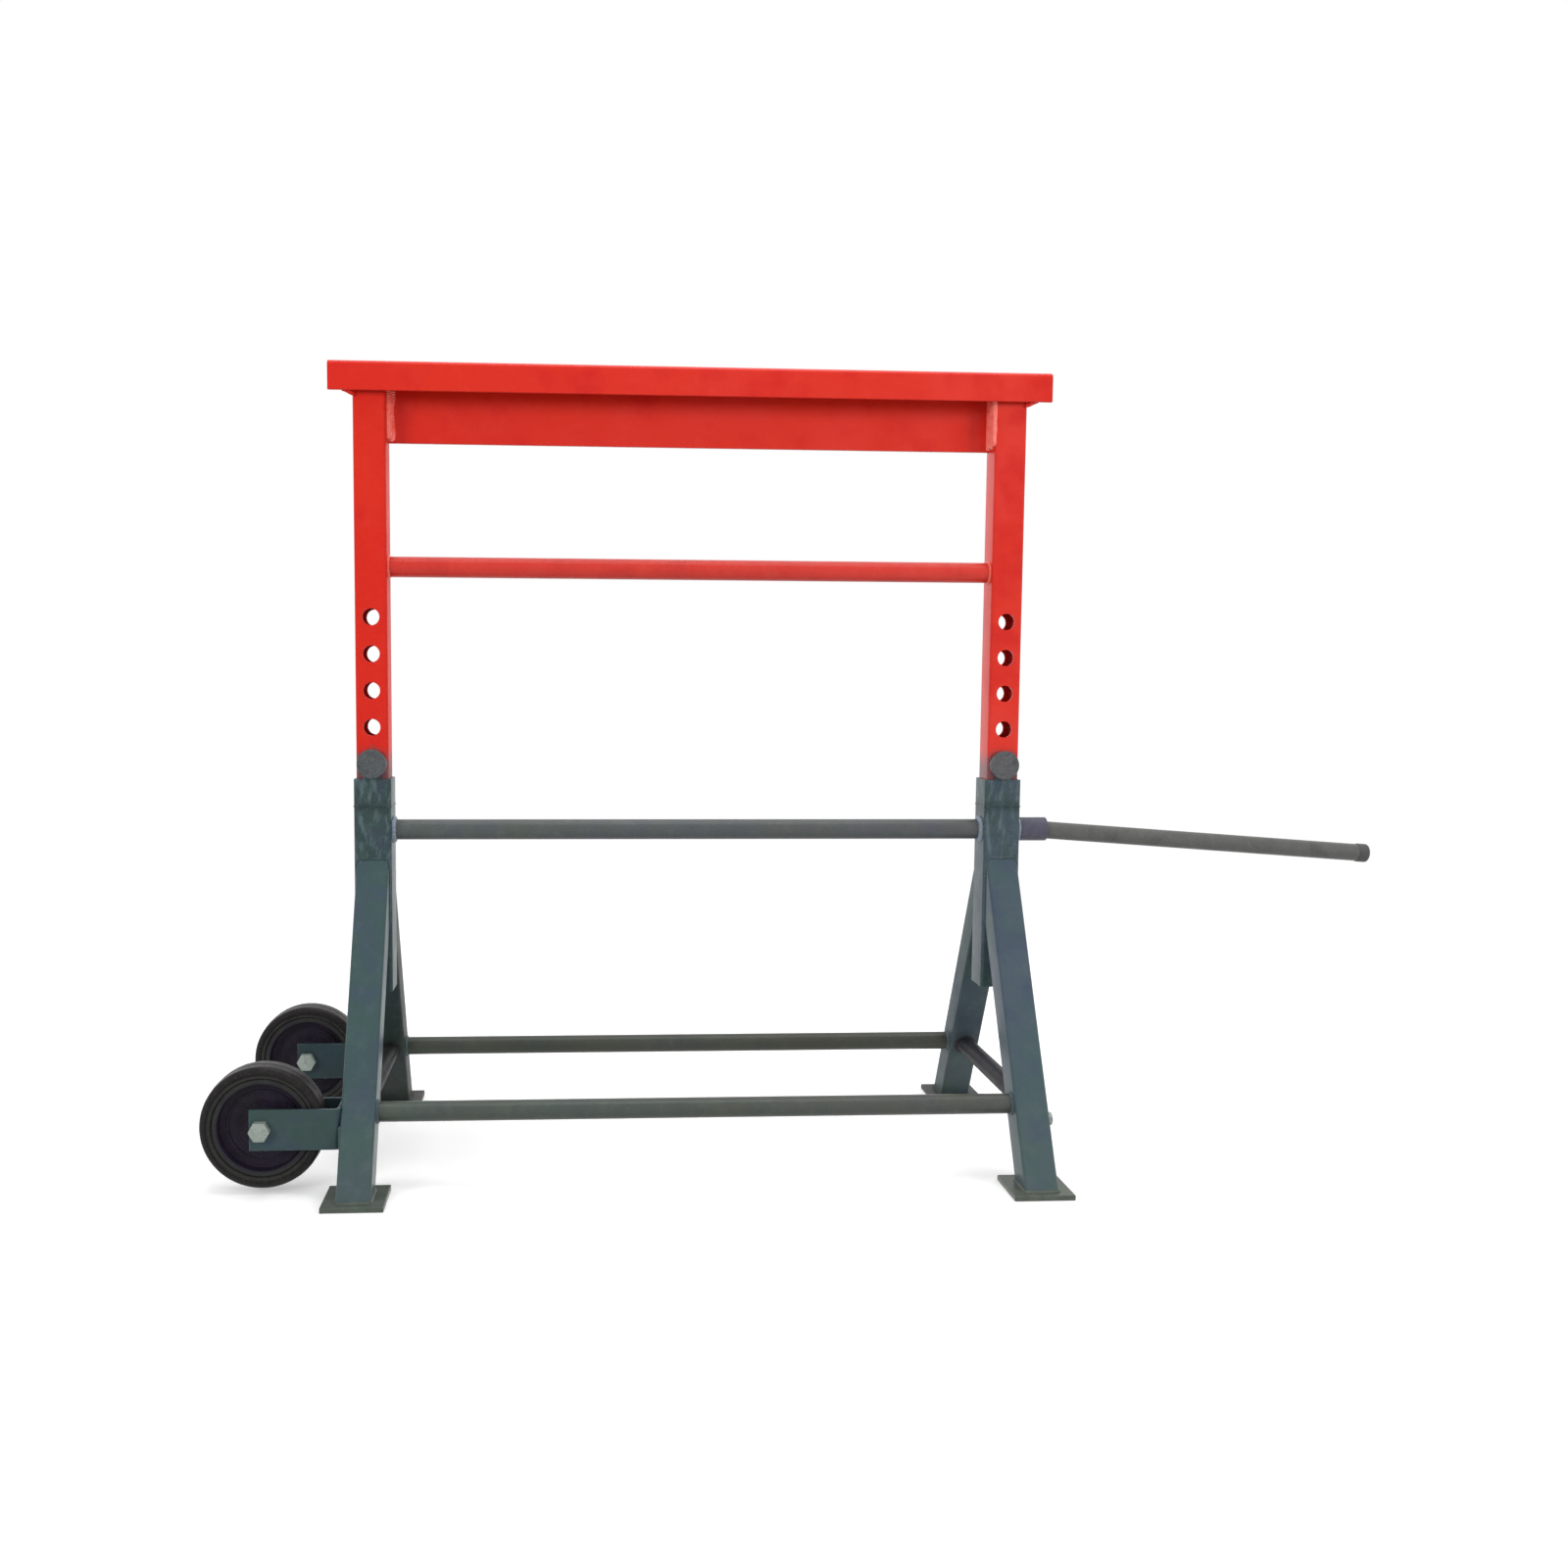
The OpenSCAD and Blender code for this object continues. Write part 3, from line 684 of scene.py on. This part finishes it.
def forkWelds(face):
    low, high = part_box("wheel_fork_" + faceName[face])
    x = high.x
    half = legs["width"] / 2 - legs["corner"]
    near, far = sorted((abs(low.y), abs(high.y)))

    def run(y0, z0, y1, z1, seed):
        return bead([(x, face * y0, z0), (x, face * y1, z1)], baseWelds["fork"], False, seed)

    tan = math.tan(legs["lean"])
    reachAt = (legY(0, half) - far) / tan
    startAt = (legY(0, -half) - near) / tan
    return [run(near, high.z, min(far, legY(high.z, half)), high.z, 13),
            run(max(near, legY(low.z, -half)), low.z, far, low.z, 14),
            run(far, low.z, far, min(high.z, reachAt), 15),
            run(near, max(low.z, startAt), near, high.z, 16)]


for side in (left, right):
    groups = {"base_": ("greenWeldHighlight", [railWeld(side, face) for face in (front, rear)]),
              "seam_": ("sleeve", [seamWeld(side), guideWeld(side, front), guideWeld(side, rear)]),
              "bar_": ("barWeldHighlight", barWelds(side)),
              "front_foot_": ("frontFoot", [footWeld(side, front)]),
              "rear_foot_": ("rearFoot", [footWeld(side, rear)]),
              "side_rail_": ("sideRailShaded", [sideRailWeld(side, face) for face in (front, rear)])}
    if side == left:
        groups["base_"][1].extend(forkWelds(front) + forkWelds(rear))
    for name, (coat, beads) in groups.items():
        dressed(joined("welds_" + name + sideName[side], beads), coats[coat], "base_frame",
                "green_grey_paint")
print("base welded")


# Welds of the red frame
redWelds = {
    "post": 0.0032, "plate": 0.0034, "tie": 0.0030, "tieRadius": 0.0160, "web": 0.006,
    "stitches": 5, "stitch": 0.060, "stitchPitch": 0.19,
    "corner": 0.0036, "cornerRun": 0.015, "cornerIn": 0.004, "cornerOff": 0.001,
    "cornerSteps": ((1.0, 0.0), (0.7, 0.0025), (0.4, 0.005)),      # share of the run, drop
    # Runs at the plate's ends: inward, off the plate, thickness
    "endRuns": {left: ((0.0030, 0.0, 0.0080), (0.0015, 0.007, 0.0060), (0.0, 0.013, 0.0052)),
                right: [(0.0005, 0.0066 * i, 0.0044) for i in range(6)]},
    "backRun": (0.0, 0.0, 0.0045), "endStep": 0.0028, "endLow": 0.002, "endLumps": 0.35,
}
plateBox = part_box("stiffener_plate")
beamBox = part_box("top_beam")
tieZ = middleOf("post_tie")[2]
webUnder = beamBox[1].z - redWelds["web"]
for side in (left, right):
    x = postX[side]
    innerX, outerX = x - side * legs["width"] / 2, x + side * legs["width"] / 2
    loop = tubeLoop(legs["width"], legs["corner"])
    beads = [bead([(x + p, q, webUnder) for p, q in loop], redWelds["post"], True, 20),
             bead([(innerX, p, tieZ + q) for p, q in circleLoop(redWelds["tieRadius"])],
                  redWelds["tie"], True, 22)]
    dressed(joined("welds_post_" + sideName[side], beads), coats["redWeldHighlight"], "lift_frame",
            "red_paint")

    # The plate's ends are filled out in front in several runs beside each other
    beads = []
    runs = [(plateBox[0].y, run) for run in redWelds["endRuns"][side]]
    runs.append((plateBox[1].y, redWelds["backRun"]))
    for i, (y, (inward, off, size)) in enumerate(runs):
        runX, runY = innerX - side * inward, y - off
        low = plateBox[0].z + redWelds["endLow"] + redWelds["endStep"] * ((i * 2) % 3)
        beads.append(bead([(runX, runY, low), (runX, runY, webUnder)],
                          size, False, 21 + side + 3 * i, redWelds["endLumps"]))
    # these runs wear the light coat, a painted highlight
    dressed(joined("welds_plate_end_" + sideName[side], beads), coats["endWeld"], "lift_frame",
            "red_paint")

    # Outside the post the flange's lower corner is filled, thinner towards the end
    flangeBack = beamBox[0].y + redWelds["web"]
    off = redWelds["cornerOff"]
    beads = []
    for share, drop in redWelds["cornerSteps"]:
        start = (outerX - side * redWelds["cornerIn"], -legs["width"] / 2 - off,
                 beamBox[0].z + off - drop)
        finish = (outerX + side * redWelds["cornerRun"] * share, flangeBack,
                  beamBox[0].z + 2 * off - drop * 0.5)
        beads.append(bead([start, finish], redWelds["corner"], False, 31 + side))
    dressed(joined("welds_corner_" + sideName[side], beads), coats["red"], "lift_frame",
            "red_paint")

beads = []
for i in range(redWelds["stitches"]):
    middle = standX + (i - (redWelds["stitches"] - 1) / 2) * redWelds["stitchPitch"]
    for y in (plateBox[0].y, plateBox[1].y):
        ends = [(middle + s * redWelds["stitch"] / 2, y, webUnder) for s in (left, right)]
        beads.append(bead(ends, redWelds["plate"], False, 25 + i))
dressed(joined("welds_stiffener", beads), coats["redWeldHighlight"], "lift_frame", "red_paint")
print("red frame welded")


# Wheels
wheel = {"radius": 0.091, "halfWidth": 0.023, "shoulder": 0.008, "rimRadius": 0.073,
         "rimHalf": 0.020, "rimInner": 0.064, "discHalf": 0.005, "hubRadius": 0.024,
         "hubHalf": 0.025, "bushRadius": 0.01208, "bushInner": 0.00908, "fillet": 0.003,
         "lip": 0.0022, "hubFillet": 0.004, "ribTop": 0.0016, "hubEdge": 0.001,
         "bushEdge": 0.0003, "bushMouth": 0.0008, "treadDrop": 0.0005, "steps": 128,
         # Moulding seam round the tread: down from the radius, out from the middle
         "seam": ((0.0, 0.0), (0.0, 0.0004), (0.0004, 0.0007)),
         # Steps of the tyre's side: out from the rim, down from its widest
         "tyreSteps": ((0.0085, 0.0), (0.0078, 0.0012), (0.0058, 0.0014), (0.0052, 0.0004),
                       (0.0022, 0.0004), (0.0008, 0.0016)),
         # Ribs of the disc: radius, height over it
         "discRibs": ((0.0540, 0.0), (0.0532, 0.0014), (0.0506, 0.0014), (0.0498, 0.0),
                      (0.0360, 0.0), (0.0352, 0.0016), (0.0290, 0.0016))}
wheelPlace = {face: Vector(jointOf(faceName[face] + "_wheel_spin")["pos_m"])
              for face in (front, rear)}


# Half of the tyre's outline, from the middle of the tread to the rim, then mirrored
def tyreOutline():
    w = wheel
    tread, edge = w["radius"] - w["treadDrop"], w["halfWidth"] - w["shoulder"]
    half = [(w["radius"] - down, out) for down, out in w["seam"]] + [(tread, edge)]
    half += arc(tread - w["shoulder"], edge, w["shoulder"], 10, 88, 8)
    half += [(w["rimRadius"] + out, w["halfWidth"] - down) for out, down in w["tyreSteps"]]
    half.append((w["rimRadius"], w["rimHalf"]))
    return half + [(r, -a) for r, a in reversed(half) if a > 0]


def centreOutline():
    w = wheel
    lip = w["lip"]
    half = arc(w["rimRadius"] - lip, w["rimHalf"] - lip, lip, 0, 90, 5)
    half += arc(w["rimInner"] + lip, w["rimHalf"] - lip, lip, 90, 180, 5)
    half += arc(w["rimInner"] - w["fillet"], w["discHalf"] + w["fillet"], w["fillet"], 0, -90, 5)
    half += [(radius, w["discHalf"] + up) for radius, up in w["discRibs"]]
    half += arc(w["hubRadius"] + w["hubFillet"], w["discHalf"] + w["ribTop"] + w["hubFillet"],
                w["hubFillet"], -90, -180, 5)
    half += [(w["hubRadius"], w["hubHalf"] - w["hubEdge"]),
             (w["hubRadius"] - w["hubEdge"], w["hubHalf"]), (w["bushRadius"], w["hubHalf"])]
    return half + [(r, -a) for r, a in reversed(half)]


def bushOutline():
    w = wheel
    half = [(w["bushRadius"], w["hubHalf"] - w["bushEdge"]),
            (w["bushRadius"] - w["bushEdge"], w["hubHalf"]),
            (w["bushInner"] + w["bushMouth"], w["hubHalf"]),
            (w["bushInner"], w["hubHalf"] - w["bushMouth"])]
    return half + [(r, -a) for r, a in reversed(half)]


for face in (front, rear):
    end, body = faceName[face], faceName[face] + "_wheel"
    for kind, outline, material, slot in (
            ("tyre", tyreOutline(), tyreRubber, "tyre_rubber"),
            ("wheel_centre", centreOutline(), wheelPlastic, "wheel_plastic"),
            ("wheel_bush", bushOutline(), bushSteel, "bush_steel")):
        piece = turned(kind + "_" + end + "_turned", outline, wheelPlace[face], (0, 1, 0),
                       True, wheel["steps"])
        dressed(piece, material, body, slot, kind + "_" + end)
print("wheels turned")


# Fasteners, in the usual proportions to their thread
fastener = {"flats": 1.5, "head": 0.63, "nut": 0.8, "washer": 1.85, "washerHeight": 0.15,
            "end": 0.25, "pitch": 0.125, "depth": 0.07, "chamfer": 0.94, "chamferAngle": 28,
            "turnSteps": 8, "point": 1.6, "pointSlope": 0.9, "nutPlay": 0.00005,
            "washerEdge": 0.0004, "washerRound": 0.0006, "washerSteps": 64}


# Hexagon with the usual chamfered corners; a hole makes it a nut, chamfered on both faces
def hexPiece(name, thread, height, middle, axis, corner, hole=0.0, steps=72):
    along = Vector(axis).normalized()
    first = Vector(corner).normalized()
    second = along.cross(first)
    flat = fastener["flats"] * thread / 2
    faceEdge = flat * fastener["chamfer"]
    rows = []
    for i in range(steps):
        a = 2 * math.pi * i / steps
        sector = (a % (math.pi / 3)) - math.pi / 6
        edge = flat / math.cos(sector)
        drop = (edge - faceEdge) * math.tan(math.radians(fastener["chamferAngle"]))
        bottom = [(hole, 0.0), (faceEdge, 0.0), (edge, drop)] if hole else [(0, 0), (edge, 0.0)]
        top = [(edge, height - drop), (faceEdge, height), (hole, height)]
        ray = first * math.cos(a) + second * math.sin(a)
        rows.append([Vector(middle) + ray * r + along * z for r, z in bottom + top])
    wide = len(rows[0])
    verts = [p for row in rows for p in row]
    faces = []
    for i in range(steps):
        j = (i + 1) % steps
        for k in range(wide if hole else wide - 1):
            m = (k + 1) % wide
            faces.append((i * wide + k, j * wide + k, j * wide + m, i * wide + m))
    piece = addObject(name, verts, faces)
    fixNormals(piece, True)
    return piece


# A rod whose last stretch carries a real helical thread
def threadedRod(name, thread, length, threaded, middle, axis, steps=40):
    along, first, second = acrossAxis(axis)
    pitch, depth = fastener["pitch"] * thread, fastener["depth"] * thread
    offsets = [0.0, (length - threaded) * 0.5, length - threaded]
    count = math.ceil(threaded / pitch * fastener["turnSteps"])
    offsets += [length - threaded + threaded * (i + 1) / count for i in range(count)]
    verts, faces = [], []
    for offset in offsets:
        for i in range(steps):
            a = 2 * math.pi * i / steps
            wave = abs(((offset / pitch - i / steps) % 1.0) * 2 - 1)
            cut = depth * wave if offset > length - threaded else 0.0
            cut += (max(0.0, depth * fastener["point"] - (length - offset))
                    * fastener["pointSlope"])
            radius = thread / 2 - cut
            verts.append(Vector(middle) + along * offset
                         + (first * math.cos(a) + second * math.sin(a)) * radius)
    for r in range(len(offsets) - 1):
        for i in range(steps):
            j = (i + 1) % steps
            faces.append((r * steps + i, r * steps + j, (r + 1) * steps + j, (r + 1) * steps + i))
    faces.append(tuple(range(steps)))
    faces.append(tuple(range((len(offsets) - 1) * steps, len(offsets) * steps)))
    piece = addObject(name, verts, faces)
    fixNormals(piece)
    return piece


def washerPiece(thread, hole, thick, middle, axis):
    half = fastener["washer"] * thread / 2
    edge, rounded = fastener["washerEdge"], fastener["washerRound"]
    outline = [(hole, 0.0), (half - edge, 0.0), (half, edge), (half, thick - rounded),
               (half - rounded, thick), (hole, thick)]
    return turned("washer", outline, middle, axis, True, fastener["washerSteps"])


axleBolt = {"thread": 0.018, "threaded": 0.030, "play": 0.0005}
thread, washerThick = axleBolt["thread"], fastener["washerHeight"] * axleBolt["thread"]
bolts, washers, nuts = [], [], []
for face in (front, rear):
    low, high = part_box("wheel_fork_" + faceName[face])
    centre = wheelPlace[face]
    head = Vector((centre.x, low.y, centre.z))
    tail = Vector((centre.x, high.y, centre.z))
    shank = high.y - low.y + washerThick + (fastener["nut"] + fastener["end"]) * thread
    bolts.append(hexPiece("head", thread, fastener["head"] * thread, head, (0, -1, 0), (1, 0, 0)))
    bolts.append(threadedRod("shank", thread, shank, axleBolt["threaded"], head, (0, 1, 0)))
    washers.append(washerPiece(thread, thread / 2 + axleBolt["play"], washerThick, tail, (0, 1, 0)))
    nuts.append(hexPiece("nut", thread, fastener["nut"] * thread,
                         (centre.x, high.y + washerThick, centre.z), (0, 1, 0), (1, 0, 0),
                         thread / 2 + fastener["nutPlay"]))
for name, parts in (("axle_bolts", bolts), ("axle_washers", washers), ("axle_nuts", nuts)):
    dressed(joined(name + "_cut", parts), boltZinc, "base_frame", "zinc_plate", name)

legBolt = {"thread": 0.012, "under": 0.016, "threaded": 0.012, "washer": 0.0022}
thread, washerThick = legBolt["thread"], legBolt["washer"]
boltSeat = Vector((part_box("leg_bolt")[0].x + legBolt["under"], *middleOf("leg_bolt")[1:]))
parts = [hexPiece("head", thread, fastener["head"] * thread,
                  boltSeat + Vector((washerThick, 0, 0)), (1, 0, 0), (0, 0, 1)),
         washerPiece(thread, thread / 2, washerThick, boltSeat, (1, 0, 0)),
         threadedRod("shank", thread, legBolt["under"], legBolt["threaded"], boltSeat, (-1, 0, 0))]
dressed(joined("leg_bolt_cut", parts), boltZinc, "base_frame", "zinc_plate", "leg_bolt")
print("fasteners made")


# Locking pins: turned, with a small fillet behind the head and a lathe centre in its face
pin = {"radius": 0.0125, "headRadius": 0.023, "head": 0.008, "bevel": 0.002, "neck": 0.0005,
       "centreHole": 0.0016, "flat": 0.0006, "backEdge": 0.0008, "tipEdge": (0.0004, 0.0002),
       "steps": 72}
for side in (left, right):
    node = "locking_pin_" + sideName[side]
    low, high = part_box(node)
    length = high.y - low.y
    outline = [(0.0, pin["centreHole"]), (pin["centreHole"], 0.0),
               (pin["headRadius"] - pin["bevel"] - pin["flat"], 0.0)]
    outline += arc(pin["headRadius"] - pin["bevel"], pin["bevel"], pin["bevel"], -90, 0, 6)
    outline += [(pin["headRadius"], pin["head"] - pin["backEdge"]),
                (pin["headRadius"] - pin["backEdge"], pin["head"]),
                (pin["radius"] + pin["neck"], pin["head"]),
                (pin["radius"], pin["head"] + pin["neck"]),
                (pin["radius"], length - pin["bevel"] - pin["flat"]),
                (pin["radius"] - pin["tipEdge"][0], length - pin["bevel"] + pin["tipEdge"][1]),
                (pin["radius"] - pin["bevel"], length), (0.0, length)]
    piece = turned(node + "_turned", outline, (postX[side], low.y, middleOf(node)[2]),
                   (0, 1, 0), False, pin["steps"])
    dressed(piece, coats["pin"], sideName[side] + "_pin", "dark_pin_steel", node)
print("pins turned")


# End cap of the pull bar, with a soft rim
cap = {"length": 0.017, "radius": 0.015, "inner": 0.014, "wall": 0.001, "edge": 0.0025,
       "mouth": (0.0008, 0.0004), "steps": 64}
barAxis = Vector(jointOf("bar_pull")["axis"]).normalized()
socketMiddle = Vector(middleOf("pull_bar_socket"))
socketMiddle.y = 0.0
capPoints = [v.co for v in frame["nodes"]["pull_bar_cap"].data.vertices]
capEnd = max((p - socketMiddle).dot(barAxis) for p in capPoints)
capMiddle = sum((Vector(p) for p in capPoints), Vector()) / len(capPoints)
capCentre = capMiddle + barAxis * (capEnd - (capMiddle - socketMiddle).dot(barAxis))
outline = [(0.0, 0.0), (cap["radius"] - cap["edge"], 0.0)]
outline += arc(cap["radius"] - cap["edge"], -cap["edge"], cap["edge"], 90, 0, 6)
outline += [(cap["radius"], cap["mouth"][0] - cap["length"]),
            (cap["radius"] - cap["mouth"][1], -cap["length"]),
            (cap["inner"], -cap["length"]), (cap["inner"], -cap["wall"]), (0.0, -cap["wall"])]
piece = turned("pull_bar_cap_moulded", outline, capCentre, barAxis, False, cap["steps"])
dressed(piece, capPlastic, "hand_bar", "cap_plastic", "pull_bar_cap")
print("pull bar capped")


# Floor, sky and lamps
studio = {"skyLight": 0.54, "seen": 1.0, "floor": 14.0, "floorTone": 0.93, "bounce": 0.34,
          "lift": 0.20, "fadeFrom": 1.3, "fadeTo": 2.6}
sideLamp = {"aim": (0, 0, 0.6), "size": (1.8, 1.8), "inGloss": False}
lamps = {
    "overhead softbox": {"place": (0.2, 0.0, 4.5), "aim": (0, 0, 0.5), "size": (3.0, 3.0),
                         "watts": 85, "inGloss": True},
    "front left softbox": dict(sideLamp, place=(-3.7, -3.5, 2.0), watts=94),
    "front right softbox": dict(sideLamp, place=(3.7, -3.5, 2.0), watts=94),
    "rear left softbox": dict(sideLamp, place=(-3.7, 3.5, 2.0), watts=70),
    "rear right softbox": dict(sideLamp, place=(3.7, 3.5, 2.0), watts=70),
}


def makeFloor():
    half = studio["floor"] / 2
    corners = [(x * half + standX, y * half, 0.0) for x, y in ((-1, -1), (1, -1), (1, 1), (-1, 1))]
    floor = addObject("studio_floor", corners, [(0, 1, 2, 3)])
    material = bpy.data.materials.new("studio floor")
    material.use_nodes = True
    tree = material.node_tree
    tree.nodes.remove(tree.nodes["Principled BSDF"])
    path = addNode(tree, "ShaderNodeLightPath").outputs
    tone = remap(tree, path["Is Camera Ray"], 0.0, 1.0, studio["bounce"], studio["floorTone"])
    matt = addNode(tree, "ShaderNodeBsdfDiffuse", {"Color": tone}).outputs[0]
    seen = addNode(tree, "ShaderNodeEmission", {"Strength": studio["lift"]}).outputs[0]
    lifted = addNode(tree, "ShaderNodeAddShader", {0: matt, 1: seen}).outputs[0]
    white = addNode(tree, "ShaderNodeEmission", {"Strength": studio["seen"]}).outputs[0]
    place = addNode(tree, "ShaderNodeTexCoord").outputs["Object"]
    away = addNode(tree, "ShaderNodeVectorMath", {0: place, 1: (standX, 0.0, 0.0)},
                   operation="DISTANCE").outputs["Value"]
    far = remap(tree, away, studio["fadeFrom"], studio["fadeTo"])
    viewed = times(tree, path["Is Camera Ray"], far)
    faded = addNode(tree, "ShaderNodeMixShader", {0: viewed, 1: lifted, 2: white}).outputs[0]
    bright = addNode(tree, "ShaderNodeMixShader", {0: path["Is Glossy Ray"], 1: faded,
                                                   2: white}).outputs[0]
    tree.links.new(bright, tree.nodes["Material Output"].inputs["Surface"])
    floor.data.materials.append(material)


def makeSky():
    world = bpy.data.worlds.new("studio sky")
    scene.world = world
    world.use_nodes = True
    tree = world.node_tree
    path = addNode(tree, "ShaderNodeLightPath").outputs
    seen = addNode(tree, "ShaderNodeMath", {0: path["Is Camera Ray"], 1: path["Is Glossy Ray"]},
                   operation="ADD").outputs[0]
    seen = addNode(tree, "ShaderNodeMath", {0: seen, 1: path["Is Transmission Ray"]},
                   operation="ADD", use_clamp=True).outputs[0]
    level = remap(tree, seen, 0.0, 1.0, studio["skyLight"], studio["seen"])
    tree.links.new(level, tree.nodes["Background"].inputs["Strength"])
    tree.nodes["Background"].inputs["Color"].default_value = (1, 1, 1, 1)


def addLamp(name, lamp):
    data = bpy.data.lights.new(name, "AREA")
    data.shape = "RECTANGLE"
    data.size, data.size_y = lamp["size"]
    data.energy = lamp["watts"]
    made = bpy.data.objects.new(name, data)
    scene.collection.objects.link(made)
    made.visible_camera = False
    made.visible_glossy = lamp["inGloss"]    # a side lamp mirrored in a flat top hides it in white
    made.location = Vector(lamp["place"]) + Vector((standX, 0, 0))
    way = Vector(lamp["aim"]) + Vector((standX, 0, 0)) - made.location
    made.rotation_mode = "QUATERNION"
    made.rotation_quaternion = way.to_track_quat("-Z", "Y")


makeFloor()
makeSky()
for name, lamp in lamps.items():
    addLamp(name, lamp)
print("studio lit")
